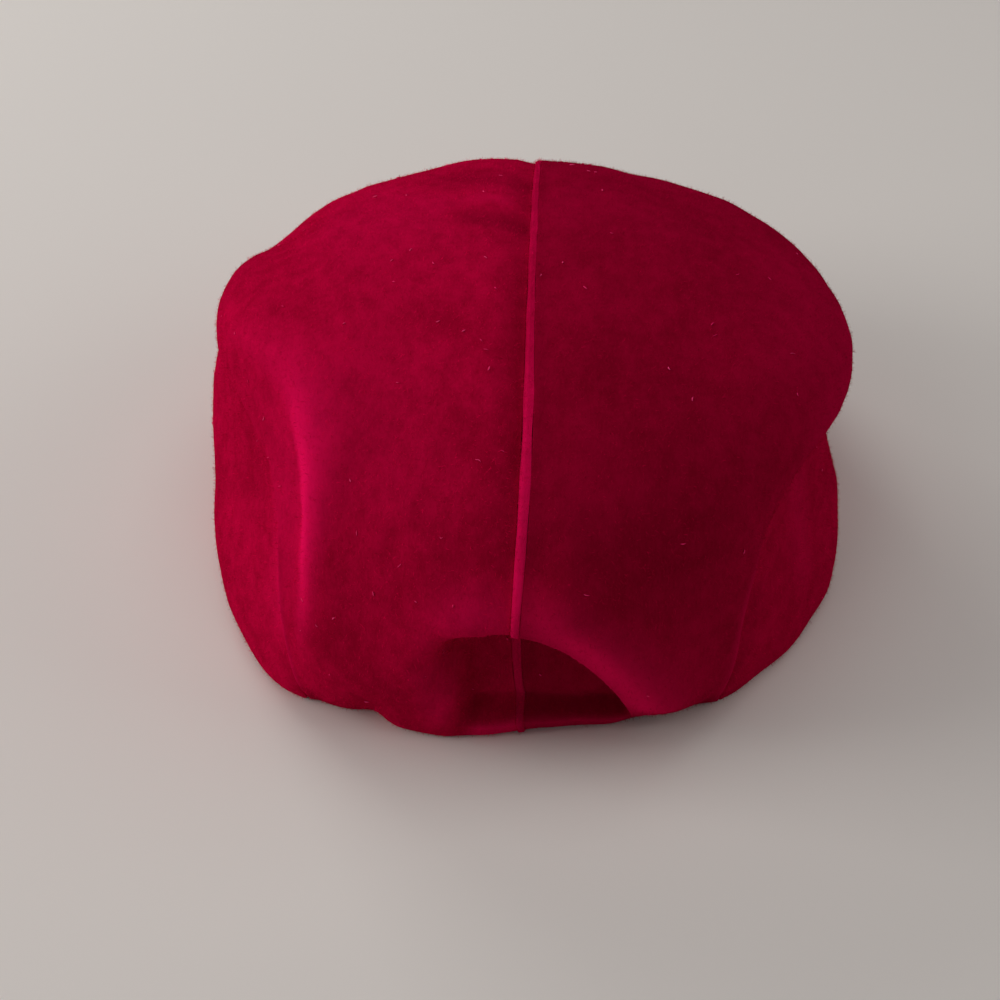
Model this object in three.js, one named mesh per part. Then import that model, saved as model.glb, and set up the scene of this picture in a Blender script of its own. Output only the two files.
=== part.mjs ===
import * as THREE from 'three';

// A flat cap of wool felt, lying on its hem. Millimetres, +Z up, the peak towards +Y.
// Two top panels meet at a raised centre seam, two crescent side panels close the sides, and the
// front of the crown is caught down on the peak. The back of the crown is pushed in above the hem.

// Driving dimensions
const headRound = 590;       // length round the inside of the hem
const tableRound = 627;      // the same length as the section tables draw it
const fit = headRound / tableRound;
const clothThick = 2.2;      // felt wall
const hemThick = 4.2;        // wall where the hem is turned in
const hemDepth = 14;         // height that the turned hem reaches
const pieceGap = 0.3;        // clearance between neighbouring pieces
const weltWidth = 2.6;       // raised centre seam
const weltProud = 0.9;
const panelPuff = { left: 1.5, right: 0.8 };  // how far each top panel stands above the centre seam
const puffReach = 9;         // distance from the seam in which it rises
const seamBlend = 14;        // beside a side seam the walls of both panels turn to one direction
const peakThick = 4.6;
const peakTip = 142;         // y of the peak's edge at its middle
const peakCorner = 91.5;     // y of the peak's corners
const peakHalf = 73;         // half width of the peak at its corners
const peakCornerWidth = 4;   // width of the peak's blunt corners
const headLine = 98;         // y of the peak's sewn edge at its middle
const headLineSag = 6.5;     // how far that edge falls back towards the corners
const peakArch = 12;         // rise of the peak's middle over its corners
const peakBase = 6;          // height of the peak's top at the corners
const peakSlope = 0.15;      // fall of the peak towards its edge
const peakEdgeTaper = 0.25;  // share of the peak's thickness taken off each face at its edge

// The dent at the back: an arch over the hem, soft on the left and steeper on the right, where the
// wall steps in above the hem. The felt round it stands up as a lip.
const dent = {
  middle: -10, leftHalf: 28.5, rightHalf: 41.5, height: 54.5,
  leftFlat: 3.4, rightFlat: 2.3, archRound: 1.8,   // powers that shape the arch
  leftLean: 15, leftFrom: 12, leftTo: 46,          // on the left the wall leans in over this height
  shelf: 9, shelfFrom: 4, shelfTo: 11,             // on the right it steps in just above the hem
  rightLean: 7, rightTo: 36,                       // and goes on leaning in
  turnFrom: -22, turnTo: -8,                       // x in which the left form turns into the right one
  sideFrom: 0.1, leftSideTo: 0.9, rightSideTo: 0.55,   // shares of a half from the arch's top to its side
  leftTopSoft: 16, rightTopSoft: 13, leftSoft: 42, rightSoft: 13,   // distance in which it is entered
  topLip: 3.4, rightLip: 6.5,                      // rise of the lip
  topOut: 3, rightOut: 10, lipReach: 8.5,          // its distance from the arch, and its reach
  lipFrom: 4, lipTo: 26,                           // height in which it grows
};

// Shares of a panel's length and height, from 0 to 1
const sideFrom = 0.018;      // the side panels' tips stop short of the seam's ends
const sideTo = 0.972;
const levelTo = 0.06;        // up to here the crown's wall turns from level at the hem
const tiltTo = 0.1;          // and its sections tilt from level at the hem
const backTo = 0.3;          // up to here the crown is near the back hem
const puffFrom = 0.2;        // the puff is whole from here
const puffTo = 0.9;          // to here
const puffAcross = 0.4;      // and fades from here towards the side seam
const seatFrom = 0.8;        // from here the crown sinks to its seat on the peak
const sidePull = 0.4;        // the side panel keeps its direction this far from the seam
const hemPull = 0.35;        // and this far from the hem
const hemTuck = { left: 0.34, right: 0.2 };   // inward slope of each side panel at the hem
const hemLevelFrom = 0.6;    // from here down its wall turns level
const peakEdgeFrom = 0.9;    // from here out the peak thins to its edge

// Numbers of facets
const dentSegments = 20;     // along the crown, across the dent
const crownSegments = 20;    // along the crown, above the dent
const dentShare = 0.22;      // share of the crown's length that the dent takes
const crownColumns = 22;     // from the centre seam to a side seam
const sideStride = 4;        // beside the dent the side panels take one crown station in four
const sideRows = 8;
const weltColumns = 2;
const peakColumns = 28;
const peakRows = 8;

// Colours of the felt
const panelRed = 0x8c0526;
const weltRed = 0x9a0a36;
const peakRed = 0x84041f;
const feltRoughness = 0.95;

// A table of sections: named columns, one row for each section from the back hem to the peak.
// It is read at any t from 0 to 1 along a smooth curve through its rows, with the lengths
// brought to the size of the head.
function table(columns, rows) {
  const last = rows.length - 1;
  const row = (i, c) => {
    if (i < 0) return 2 * rows[0][c] - rows[1][c];
    if (i > last) return 2 * rows[last][c] - rows[last - 1][c];
    return rows[i][c];
  };
  return (t) => {
    const at = THREE.MathUtils.clamp(t, 0, 1) * last;
    const i = Math.min(Math.floor(at), last - 1);
    const f = at - i;
    const values = {};
    columns.forEach((name, c) => {
      const size = ['x', 'y', 'z'].includes(name) ? fit : 1;
      const [p0, p1, p2, p3] = [row(i - 1, c), row(i, c), row(i + 1, c), row(i + 2, c)];
      const curve = 2 * p1 + (p2 - p0) * f + (2 * p0 - 5 * p1 + 4 * p2 - p3) * f * f
        + (3 * p1 - p0 - 3 * p2 + p3) * f * f * f;
      values[name] = curve * size / 2;
    });
    return values;
  };
}

// Centre seam
const centreSeam = table(['x', 'y', 'z'], [
  [-0.6, -90, 0],
  [-2.2, -94, 16],
  [-3.2, -97, 34],
  [-3.0, -97, 54],
  [-2.0, -91, 73],
  [-1.0, -76, 90],
  [-0.6, -48, 101],
  [-0.9, -12, 105],
  [-0.95, 28, 103],
  [-0.95, 66, 94],
  [-0.6, 98, 80],
  [0, 117, 64],
  [0, 123, 47],
  [0, 121, 33],
  [0, 116, 20],
]);

// Side seams. Lean is how far the crown tucks in above the seam and flare how far the side panel
// swells out below it, in degrees from upright. The pulls are the shares of a section in which the
// crown keeps its direction from the centre seam and from the side seam.
const seamColumns = ['x', 'y', 'z', 'lean', 'flare', 'crownPull', 'seamPull'];
const sideSeam = {
  left: table(seamColumns, [
    [-67, -78, 0, 0, 0, 0.30, 0.12],
    [-70, -80, 12, 0, 0, 0.34, 0.30],
    [-72, -79, 26, 0, 0, 0.42, 0.40],
    [-73.5, -75, 40, -5, 0, 0.46, 0.40],
    [-74, -68, 53, -12, 4, 0.50, 0.42],
    [-75, -57, 64, -15, 10, 0.54, 0.44],
    [-79, -43, 72, -10, 16, 0.55, 0.44],
    [-88, -24, 75, 0, 18, 0.52, 0.42],
    [-97, -3, 71, 10, 18, 0.46, 0.38],
    [-102, 20, 63, 16, 14, 0.36, 0.34],
    [-97, 44, 50, 18, 10, 0.32, 0.32],
    [-89, 66, 39, 14, 6, 0.28, 0.32],
    [-82, 83, 30, 8, 2, 0.34, 0.34],
    [-77, 93, 19, 2, 0, 0.36, 0.36],
    [-73, 99, 8, 0, 0, 0.38, 0.38],
  ]),
  right: table(seamColumns, [
    [60, -74, 0, 0, 0, 0.30, 0.12],
    [61, -77, 12, 0, 0, 0.34, 0.30],
    [63, -77, 26, 0, 0, 0.42, 0.40],
    [65, -72, 40, 5, 0, 0.46, 0.40],
    [68, -64, 51, 10, 6, 0.50, 0.42],
    [72, -52, 58, 16, 10, 0.54, 0.44],
    [79.5, -37, 63, 26, 10, 0.55, 0.42],
    [89.5, -18, 66.5, 38, 6, 0.48, 0.41],
    [93.5, 4, 64, 46, 2, 0.38, 0.40],
    [95, 27, 57, 40, 2, 0.29, 0.37],
    [97, 50, 46, 24, 10, 0.30, 0.32],
    [90, 70, 38, 14, 5, 0.28, 0.32],
    [80, 85, 28, 6, 2, 0.34, 0.34],
    [75, 93, 18, 2, 0, 0.36, 0.36],
    [72, 99, 8, 0, 0, 0.38, 0.38],
  ]),
};

// The hem under each side panel
const sideHem = {
  left: table(['x', 'y', 'z'], [
    [-67, -78, 0],
    [-75, -74, 0],
    [-82.5, -66.5, 0],
    [-90, -53.8, 0],
    [-96, -40, 0],
    [-100, -23, 0],
    [-101, -4, 0],
    [-100, 16, 0],
    [-97, 36, 0],
    [-92, 54, 1],
    [-84, 70, 2],
    [-79, 80, 4],
    [-76, 87, 5],
    [-74, 91, 6],
    [-72, 95, 7],
  ]),
  right: table(['x', 'y', 'z'], [
    [60, -74, 0],
    [66, -70, 0],
    [74, -62, 0],
    [83.5, -52, 0],
    [91, -39.5, 0],
    [98.5, -24, 0],
    [101, -5, 0],
    [100.5, 15, 0],
    [95, 35, 0],
    [89, 54, 1],
    [81, 70, 2],
    [77, 80, 4],
    [74, 87, 5],
    [72, 91, 6],
    [71, 95, 7],
  ]),
};

// Soft folds in the top panels, each a line between two places on a panel, with its rise at both
// ends (inward where it is negative) and the distance in which it fades
const folds = [
  { side: 'left', from: [0.66, 0.61], to: [0.47, 0.57], rise: [-4.4, -0.8], reach: 11 },   // shoulder
  { side: 'left', from: [0, 0.34], to: [0, 0.42], rise: [2.2, 2.2], reach: 13 },           // hem, left
  { side: 'left', from: [0, 0.64], to: [0, 0.8], rise: [-2.2, -2.2], reach: 7 },
  { side: 'right', from: [0, 0.1], to: [0, 0.22], rise: [-3, -3], reach: 12 },             // hem, right
  { side: 'right', from: [0, 0.5], to: [0, 0.78], rise: [-2, -2], reach: 6 },
];

// The fold that runs beside the left side seam: distance of its crest from the seam, and its rise
const ridgeFrom = 0.08;
const ridgeTo = 0.61;
const ridgeSteep = 7;        // reach towards the seam
const ridgeGentle = 10;      // reach away from it
const ridge = table(['away', 'rise'], [
  [10.5, 0],
  [12.5, 1.5],
  [15.6, 3.6],
  [19.0, 5.0],
  [25.4, 5.1],
  [28.6, 3.8],
  [20.8, 2.0],
  [19.0, 0],
]);

const headCentre = new THREE.Vector2(-2, 3);   // centre of the head opening
const up = new THREE.Vector3(0, 0, 1);
const step = 1e-3;           // step along a form to find its directions

const smooth = (from, to, x) => THREE.MathUtils.smoothstep(x, from, to);
const across = (side) => (side === 'left' ? -1 : 1);
const shifted = (point, direction, length) => point.clone().addScaledVector(direction, length);

// A direction turned towards another by an angle in degrees
function turned(direction, towards, degrees) {
  const angle = THREE.MathUtils.degToRad(degrees);
  return direction.clone().multiplyScalar(Math.cos(angle)).addScaledVector(towards, Math.sin(angle));
}

// Height of the peak's upper face
const peakTop = (x, y) => (
  peakBase + peakArch * (1 - (x / peakHalf) ** 2) - peakSlope * (y - peakCorner)
);

function bezier(p0, p1, p2, p3, t) {
  return new THREE.CubicBezierCurve3(p0, p1, p2, p3).getPoint(t);
}

// A point of a side seam, whose front end lies on the peak
function seamPoint(side, s) {
  const row = sideSeam[side](s);
  const end = sideSeam[side](1);
  const drop = peakTop(end.x, end.y) + pieceGap - end.z;
  return new THREE.Vector3(row.x, row.y, row.z + drop * smooth(seatFrom, 1, s));
}

// That point with its directions: outward from the head, and down across the seam
function seamFrame(side, s) {
  const row = sideSeam[side](s);
  const point = seamPoint(side, s);
  const along = seamPoint(side, s + step).sub(seamPoint(side, s - step)).normalize();
  const outward = new THREE.Vector3(row.x - headCentre.x, row.y - headCentre.y, 0).normalize();
  const down = outward.clone().cross(along).multiplyScalar(-across(side)).normalize();
  const facing = down.clone().cross(along).multiplyScalar(across(side)).normalize();
  return { ...row, point, outward, down, facing };
}

// The crown's smooth form: a curve from the centre seam (w = 0) to the side seam (w = 1)
function crownForm(side, s, w) {
  const row = centreSeam(s);
  const sign = across(side);
  const start = new THREE.Vector3(row.x + sign * (weltWidth / 2 + pieceGap), row.y, row.z);
  const seam = seamFrame(side, s);
  const reach = start.distanceTo(seam.point);
  const arrive = turned(seam.down, seam.outward, -seam.lean);
  arrive.z *= smooth(0, tiltTo, s);
  arrive.normalize();
  return bezier(
    start,
    shifted(start, new THREE.Vector3(sign, 0, 0), seam.crownPull * reach),
    shifted(seam.point, arrive, -seam.seamPull * reach),
    seam.point,
    w,
  );
}

// The side panel's smooth form: a curve from the side seam (h = 0) down to the hem (h = 1)
function sideForm(side, s, h) {
  const seam = seamFrame(side, s);
  const start = shifted(seam.point, seam.down, pieceGap);
  const row = sideHem[side](s);
  const end = new THREE.Vector3(row.x, row.y, Math.max(row.z, 0));
  const reach = start.distanceTo(end);
  const leave = turned(up.clone().negate(), seam.outward, seam.flare);
  const arrive = shifted(up.clone().negate(), seam.outward, -hemTuck[side]);
  return bezier(
    start,
    shifted(start, leave, sidePull * reach),
    shifted(end, arrive, -hemPull * reach),
    end,
    h,
  );
}

// Outward normal of a form, by differences
function formNormal(form, side, a, b) {
  const [a0, a1] = [Math.max(a - step, 0), Math.min(a + step, 1)];
  const [b0, b1] = [Math.max(b - step, 0), Math.min(b + step, 1)];
  const alongA = form(side, a1, b).sub(form(side, a0, b));
  const alongB = form(side, a, b1).sub(form(side, a, b0));
  return alongB.cross(alongA).multiplyScalar(across(side)).normalize();
}

// How far the soft folds lift the crown at a point of its smooth form
const foldLines = folds.map(({ side, from, to, ...fold }) => ({
  ...fold,
  line: new THREE.Line3(crownForm(side, ...from), crownForm(side, ...to)),
}));
function foldRise(point) {
  return foldLines.reduce((sum, { line, rise, reach }) => {
    const along = line.closestPointToPointParameter(point, true);
    const away = line.at(along, new THREE.Vector3()).distanceTo(point);
    return sum + THREE.MathUtils.lerp(rise[0], rise[1], along) * Math.exp(-((away / reach) ** 2));
  }, 0);
}

// How far the ridge beside the left seam lifts the crown
function ridgeRise(s, fromSeam) {
  if (s < ridgeFrom || s > ridgeTo) return 0;
  const { away, rise } = ridge((s - ridgeFrom) / (ridgeTo - ridgeFrom));
  const reach = fromSeam < away ? ridgeSteep : ridgeGentle;
  return rise * Math.exp(-(((fromSeam - away) / reach) ** 2));
}

// The dent at a point of the crown's smooth form: how far it is pushed in, and how far the lip
// round the dent lifts it. Both follow the distance into an arch, where
// share ** flat + level ** archRound = 1.
function dentAt(point) {
  if (point.y > 0) return { push: 0, lip: 0 };
  const { lerp } = THREE.MathUtils;
  const offset = point.x - dent.middle;
  const z = Math.max(point.z, 0);
  const onRight = offset > 0;
  const half = onRight ? dent.rightHalf : dent.leftHalf;
  const flat = onRight ? dent.rightFlat : dent.leftFlat;
  const [share, level] = [Math.abs(offset) / half, z / dent.height];
  const slope = Math.hypot(
    flat * share ** (flat - 1) / half,
    dent.archRound * level ** (dent.archRound - 1) / dent.height,
  );
  const deep = (1 - share ** flat - level ** dent.archRound) / Math.max(slope, step);
  const toSide = smooth(dent.sideFrom, onRight ? dent.rightSideTo : dent.leftSideTo, share);
  const soft = onRight
    ? lerp(dent.rightTopSoft, dent.rightSoft, toSide)
    : lerp(dent.leftTopSoft, dent.leftSoft, toSide);
  const leftDepth = dent.leftLean * smooth(dent.leftFrom, dent.leftTo, z);
  const rightDepth = dent.shelf * smooth(dent.shelfFrom, dent.shelfTo, z)
    + dent.rightLean * smooth(dent.shelfTo, dent.rightTo, z);
  const depth = lerp(leftDepth, rightDepth, smooth(dent.turnFrom, dent.turnTo, point.x));
  const crest = lerp(dent.topOut, dent.rightOut, toSide);
  const lip = lerp(dent.topLip, onRight ? dent.rightLip : 0, toSide)
    * smooth(dent.lipFrom, dent.lipTo, z) * Math.exp(-(((deep + crest) / dent.lipReach) ** 2));
  return { push: depth * smooth(0, soft, deep), lip };
}

// Thickness of the wall at a height above the hem
const wallAt = (height) => THREE.MathUtils.lerp(hemThick, clothThick, smooth(0, hemDepth, height));

// Outer and inner point of a top panel
function crownWall(side, s, w) {
  const form = crownForm(side, s, w);
  const normal = formNormal(crownForm, side, s, w);
  const seam = seamFrame(side, s);
  normal.lerp(seam.facing, 1 - smooth(0, seamBlend, form.distanceTo(seam.point)));
  normal.z *= smooth(0, levelTo, s);
  normal.normalize();
  const nearSeam = Math.exp(-(((form.x - centreSeam(s).x) / puffReach) ** 2));
  const ends = smooth(0, puffFrom, s) * (1 - smooth(puffTo, 1, s));
  const puff = panelPuff[side] * (1 - nearSeam) * ends * (1 - smooth(puffAcross, 1, w));
  const { push: inward, lip } = dentAt(form);
  const push = new THREE.Vector3(0, inward, 0);
  const beside = side === 'left' ? ridgeRise(s, form.distanceTo(seam.point)) : 0;
  const rise = puff + foldRise(form) + lip + beside;
  const outer = shifted(form, normal, rise).add(push);
  const inner = shifted(form, normal, rise - wallAt(s < backTo ? form.z : hemDepth)).add(push);
  return seatOnPeak([outer, inner], s, crownForm(side, 1, w));
}

// Outer and inner point of the welt along the centre seam, at a distance across it
function weltWall(s, offset) {
  const row = centreSeam(s);
  const [before, after] = [centreSeam(s - step), centreSeam(s + step)];
  const normal = new THREE.Vector3(0, before.z - after.z, after.y - before.y);
  normal.z *= smooth(0, levelTo, s);
  normal.normalize();
  const form = new THREE.Vector3(row.x + offset, row.y, row.z);
  const { push: inward, lip } = dentAt(form);
  const push = new THREE.Vector3(0, inward, 0);
  const rise = foldRise(form) + lip;
  const outer = shifted(form, normal, rise + weltProud).add(push);
  const inner = shifted(form, normal, rise - wallAt(s < backTo ? form.z : hemDepth)).add(push);
  const front = centreSeam(1);
  return seatOnPeak([outer, inner], s, new THREE.Vector3(front.x + offset, front.y, front.z));
}

// Brings the front edge of the crown down on the peak: each point sinks with its own front end
function seatOnPeak(points, s, frontEnd) {
  const drop = peakTop(frontEnd.x, frontEnd.y) + pieceGap - frontEnd.z;
  for (const point of points) {
    point.z += drop * smooth(seatFrom, 1, s);
    if (s === 1) point.z = peakTop(point.x, point.y) + pieceGap;
  }
  return points;
}

// Outer and inner point of a side panel
function sideWall(side, s, h) {
  const form = sideForm(side, s, h);
  const normal = formNormal(sideForm, side, s, h);
  const seam = seamFrame(side, s);
  normal.lerp(seam.facing, 1 - smooth(0, seamBlend, form.distanceTo(seam.point)));
  normal.z *= 1 - smooth(hemLevelFrom, 1, h);
  normal.normalize();
  const fromHem = form.z - sideHem[side](s).z;
  return [form, shifted(form, normal, -wallAt(fromHem))];
}

// Top and bottom point of the peak
function peakWall(a, b) {
  const span = a * 2 - 1;
  const turn = span * Math.PI / 2;
  const sewnEdge = new THREE.Vector2(
    span * (peakHalf - peakCornerWidth),
    headLine - headLineSag * span ** 2,
  );
  const openEdge = new THREE.Vector2(
    peakHalf * Math.sin(turn),
    peakCorner + (peakTip - peakCorner) * Math.cos(turn),
  );
  const plan = sewnEdge.lerp(openEdge, b);
  const top = peakTop(plan.x, plan.y);
  const edge = smooth(peakEdgeFrom, 1, b) * peakEdgeTaper * peakThick;
  return [
    new THREE.Vector3(plan.x, plan.y, top - edge),
    new THREE.Vector3(plan.x, plan.y, top - peakThick + edge),
  ];
}

// A closed wall between an outer and an inner sheet of points, sampled at the given stations
function wallGeometry(wall, stationsA, stationsB) {
  const outer = [];
  const inner = [];
  for (const a of stationsA) {
    for (const b of stationsB) {
      const [outside, inside] = wall(a, b);
      outer.push(outside);
      inner.push(inside);
    }
  }
  const points = [...outer, ...inner];
  const columns = stationsB.length;
  const offset = outer.length;
  const faces = [];
  const quad = (a, b, c, d) => faces.push(a, b, c, a, c, d);
  // A pair of facing quads, split along the shorter diagonal, which follows a fold
  const foldedQuad = (a, b, c, d) => {
    const split = points[a].distanceTo(points[c]) < points[b].distanceTo(points[d]);
    const [p, q, r, s] = split ? [a, b, c, d] : [b, c, d, a];
    quad(p, q, r, s);
    quad(offset + r, offset + q, offset + p, offset + s);
  };
  for (let i = 0; i + 1 < stationsA.length; i += 1) {
    for (let j = 0; j + 1 < columns; j += 1) {
      const [here, next] = [i * columns + j, (i + 1) * columns + j];
      foldedQuad(here, next, next + 1, here + 1);
    }
  }
  const rim = [];
  const lastRow = (stationsA.length - 1) * columns;
  for (let j = 0; j < columns; j += 1) rim.push(j);
  for (let i = 1; i < stationsA.length; i += 1) rim.push(i * columns + columns - 1);
  for (let j = columns - 2; j >= 0; j -= 1) rim.push(lastRow + j);
  for (let i = stationsA.length - 2; i > 0; i -= 1) rim.push(i * columns);
  rim.forEach((a, k) => {
    const b = rim[(k + 1) % rim.length];
    quad(a, b, offset + b, offset + a);
  });
  return facingOut(points, faces);
}

// Turns the faces round where they enclose a negative volume
function facingOut(points, faces) {
  let volume = 0;
  for (let f = 0; f < faces.length; f += 3) {
    const [a, b, c] = [points[faces[f]], points[faces[f + 1]], points[faces[f + 2]]];
    volume += a.dot(new THREE.Vector3().crossVectors(b, c));
  }
  const geometry = new THREE.BufferGeometry().setFromPoints(points);
  geometry.setIndex(volume > 0 ? faces : faces.slice().reverse());
  geometry.computeVertexNormals();
  return geometry;
}

const evenly = (from, to, count) => (
  Array.from({ length: count + 1 }, (_, i) => THREE.MathUtils.lerp(from, to, i / count))
);

const crownStations = [
  ...evenly(0, dentShare, dentSegments),
  ...evenly(dentShare, 1, crownSegments).slice(1),
];

// The side panels share the crown's stations, so both edges of a seam have the same facets
const kept = crownStations.filter((s, i) => i >= dentSegments || i % sideStride === 0);
const sideStations = [sideFrom, ...kept.filter((s) => s > sideFrom && s < sideTo), sideTo];

const felt = (color) => (
  new THREE.MeshStandardMaterial({ color, roughness: feltRoughness, metalness: 0 })
);
const meshes = {
  crown_left: [
    wallGeometry((s, w) => crownWall('left', s, w), crownStations, evenly(0, 1, crownColumns)),
    felt(panelRed),
  ],
  crown_right: [
    wallGeometry((s, w) => crownWall('right', s, w), crownStations, evenly(0, 1, crownColumns)),
    felt(panelRed),
  ],
  centre_seam: [
    wallGeometry(weltWall, crownStations, evenly(-weltWidth / 2, weltWidth / 2, weltColumns)),
    felt(weltRed),
  ],
  side_left: [
    wallGeometry((s, h) => sideWall('left', s, h), sideStations, evenly(0, 1, sideRows)),
    felt(panelRed),
  ],
  side_right: [
    wallGeometry((s, h) => sideWall('right', s, h), sideStations, evenly(0, 1, sideRows)),
    felt(panelRed),
  ],
  peak: [
    wallGeometry(peakWall, evenly(0, 1, peakColumns), evenly(0, 1, peakRows)),
    felt(peakRed),
  ],
};

const cap = new THREE.Group();
for (const [name, [geometry, material]] of Object.entries(meshes)) {
  const mesh = new THREE.Mesh(geometry, material);
  mesh.name = name;
  cap.add(mesh);
}

// The origin is on the surface that the cap lies on, under the middle of its box
const box = new THREE.Box3().setFromObject(cap);
const middle = box.getCenter(new THREE.Vector3());
cap.position.set(-middle.x, -middle.y, -box.min.z);

export default cap;
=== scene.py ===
import bpy
import numpy as np
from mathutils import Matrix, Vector


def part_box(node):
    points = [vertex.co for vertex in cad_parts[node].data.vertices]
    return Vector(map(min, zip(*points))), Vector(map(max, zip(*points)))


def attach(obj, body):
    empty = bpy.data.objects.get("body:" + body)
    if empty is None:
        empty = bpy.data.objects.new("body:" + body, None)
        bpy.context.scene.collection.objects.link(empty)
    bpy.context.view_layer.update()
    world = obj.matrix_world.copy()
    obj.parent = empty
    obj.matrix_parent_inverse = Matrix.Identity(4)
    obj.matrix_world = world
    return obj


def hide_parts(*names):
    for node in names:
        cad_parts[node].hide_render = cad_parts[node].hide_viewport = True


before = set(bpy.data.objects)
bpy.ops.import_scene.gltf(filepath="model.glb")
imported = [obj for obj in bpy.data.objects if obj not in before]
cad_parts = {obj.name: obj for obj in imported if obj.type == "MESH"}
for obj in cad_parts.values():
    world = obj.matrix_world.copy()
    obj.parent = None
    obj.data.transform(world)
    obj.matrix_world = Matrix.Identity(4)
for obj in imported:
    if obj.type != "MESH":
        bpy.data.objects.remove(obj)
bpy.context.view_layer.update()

# The cap's sizes in millimetres. Shares run from 0 to 1 along a panel.
cap = {
    "headRound": 590.0,          # round the inside of the hem
    "tableRound": 627.0,         # the same round as the section rows draw it
    "headCentre": (-2.0, 3.0),
    "cloth": 2.2,                # felt wall
    "hem": 4.2,                  # wall where the hem is turned in
    "hemDepth": 14.0,            # height of the turned hem
    "hemStep": 1.6,              # its raw edge inside
    "hemRound": 1.7,             # rounding along the bottom
    "gap": 0.05,                 # between neighbouring edges
    "edgeRound": 0.45,           # rounding of a top panel's front end
    "topLength": 190.0,          # that turns shares into lengths there
    "evenBeside": 9.0,           # the undulation fades this near a seam
    "evenAtHem": 6.0,            # and this near the hem
    "narrow": 8.0,               # side panels narrower than this have less rounding
    "tiltTo": 0.1,               # up to this share the crown's sections turn out of level
    "levelTo": 0.06,             # and its wall up to this one
    "seamBlend": 14.0,           # beside a side seam both walls turn to one direction
    "seatFrom": 0.8,             # from this share the crown sinks to the peak
    "backTo": 0.3,               # up to this share the crown has a hem
    "sidePull": 0.4, "hemPull": 0.35,
    "hemLevelFrom": 0.6,         # share of a side panel from which its wall turns level
    "hemTuck": {"left": 0.34, "right": 0.2},
}
peak = {
    "thick": 4.6, "tip": 142.0, "corner": 91.5, "half": 73.0, "cornerWidth": 4.0,
    "headLine": 98.0, "sag": 6.5, "arch": 12.0, "base": 6.0, "slope": 0.15,
    "edgeRound": 2.2, "sewnRound": 1.0, "rows": 150, "columns": 60,
    "crowd": 1.6,                # above 1 the columns crowd at the open edge
}
fit = cap["headRound"] / cap["tableRound"]
mm = 0.001         # in metres
tiny = 1e-9        # keeps zero lengths from dividing
smallStep = 1e-3   # along a panel, for directions by differences
up = np.array((0.0, 0.0, 1.0))
signOf = {"left": -1.0, "right": 1.0}

# the tables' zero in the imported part: under the middle of the peak, its tip at the peak's length
peakLow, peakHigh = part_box("peak")
shift = np.array(((peakLow.x + peakHigh.x) / 2 / mm, peakHigh.y / mm - peak["tip"], 0.0))


# eased step from 0 at low to 1 at high
def smooth(low, high, x):
    k = np.clip((x - low) / (high - low), 0, 1)
    return k * k * (3 - 2 * k)


def mix(a, b, k):
    return a + (b - a) * k


def unit(v):
    return v / np.maximum(np.linalg.norm(v, axis=-1, keepdims=True), tiny)


def stack(x, y, z):
    return np.stack(np.broadcast_arrays(x, y, z), -1)


softWave = {"count": 12, "lengths": (0.7, 1.4), "spread": 4.9}   # shares of the size, twice the usual sum


# sum of sine waves in random directions, about -1 to 1
def softWaves(points, size, seed):
    rng = np.random.default_rng(seed)
    total = np.zeros(points.shape[:-1])
    for direction in unit(rng.normal(size=(softWave["count"], 3))):
        length = size * rng.uniform(*softWave["lengths"])
        total += np.sin(points @ direction * (2 * np.pi / length) + rng.uniform(0, 2 * np.pi))
    return total / softWave["spread"]


# smooth curve through the rows, read at t from 0 to 1; lengths are brought to the head's size
def sections(columns, rows):
    points = np.array(rows, float)
    points = np.vstack([2 * points[0] - points[1], points, 2 * points[-1] - points[-2]])
    size = np.array([fit if name in "xyz" else 1.0 for name in columns])

    def read(t):
        at = np.clip(np.asarray(t, float), 0, 1) * (len(rows) - 1)
        i = np.minimum(at.astype(int), len(rows) - 2)
        f = (at - i)[..., None]
        p0, p1, p2, p3 = (points[i + k] for k in range(4))
        square = 2 * p0 - 5 * p1 + 4 * p2 - p3
        cube = 3 * p1 - p0 - 3 * p2 + p3
        curve = 2 * p1 + (p2 - p0) * f + square * f ** 2 + cube * f ** 3
        return dict(zip(columns, np.moveaxis(curve * size / 2, -1, 0)))
    return read


# Sections from the back hem over the top to the peak, as the solids have them. The centre seam
# also has the welt's width, its painted highlight and how deep the valley beside it is, which also sets the
# painted shade there.
centreSeam = sections(("x", "y", "z", "width", "paintedLight", "valley"), (
    (-0.6, -90, 0, 2.2, 0.05, 0), (-2.2, -94, 16, 2.2, 0.05, 0), (-3.2, -97, 34, 2.2, 0.05, 0.1),
    (-3.0, -97, 54, 2.3, 0.25, 0.2), (-2, -91, 73, 2.7, 0.5, 0.4), (-1, -76, 90, 3.0, 0.4, 0.8),
    (-0.6, -48, 101, 2.8, 0.25, 1), (-0.9, -12, 105, 2.3, 0, 1), (-0.95, 28, 103, 2.1, 0, 0.6),
    (-0.95, 66, 94, 2.0, 0, 0.5), (-0.6, 98, 80, 2.0, 0, 0.4), (0, 117, 64, 2.0, 0, 0.3),
    (0, 123, 47, 2.0, 0, 0.2), (0, 121, 33, 2.0, 0, 0.1), (0, 116, 20, 2.0, 0, 0)))
seamColumns = ("x", "y", "z", "lean", "flare", "crownPull", "seamPull")
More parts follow.
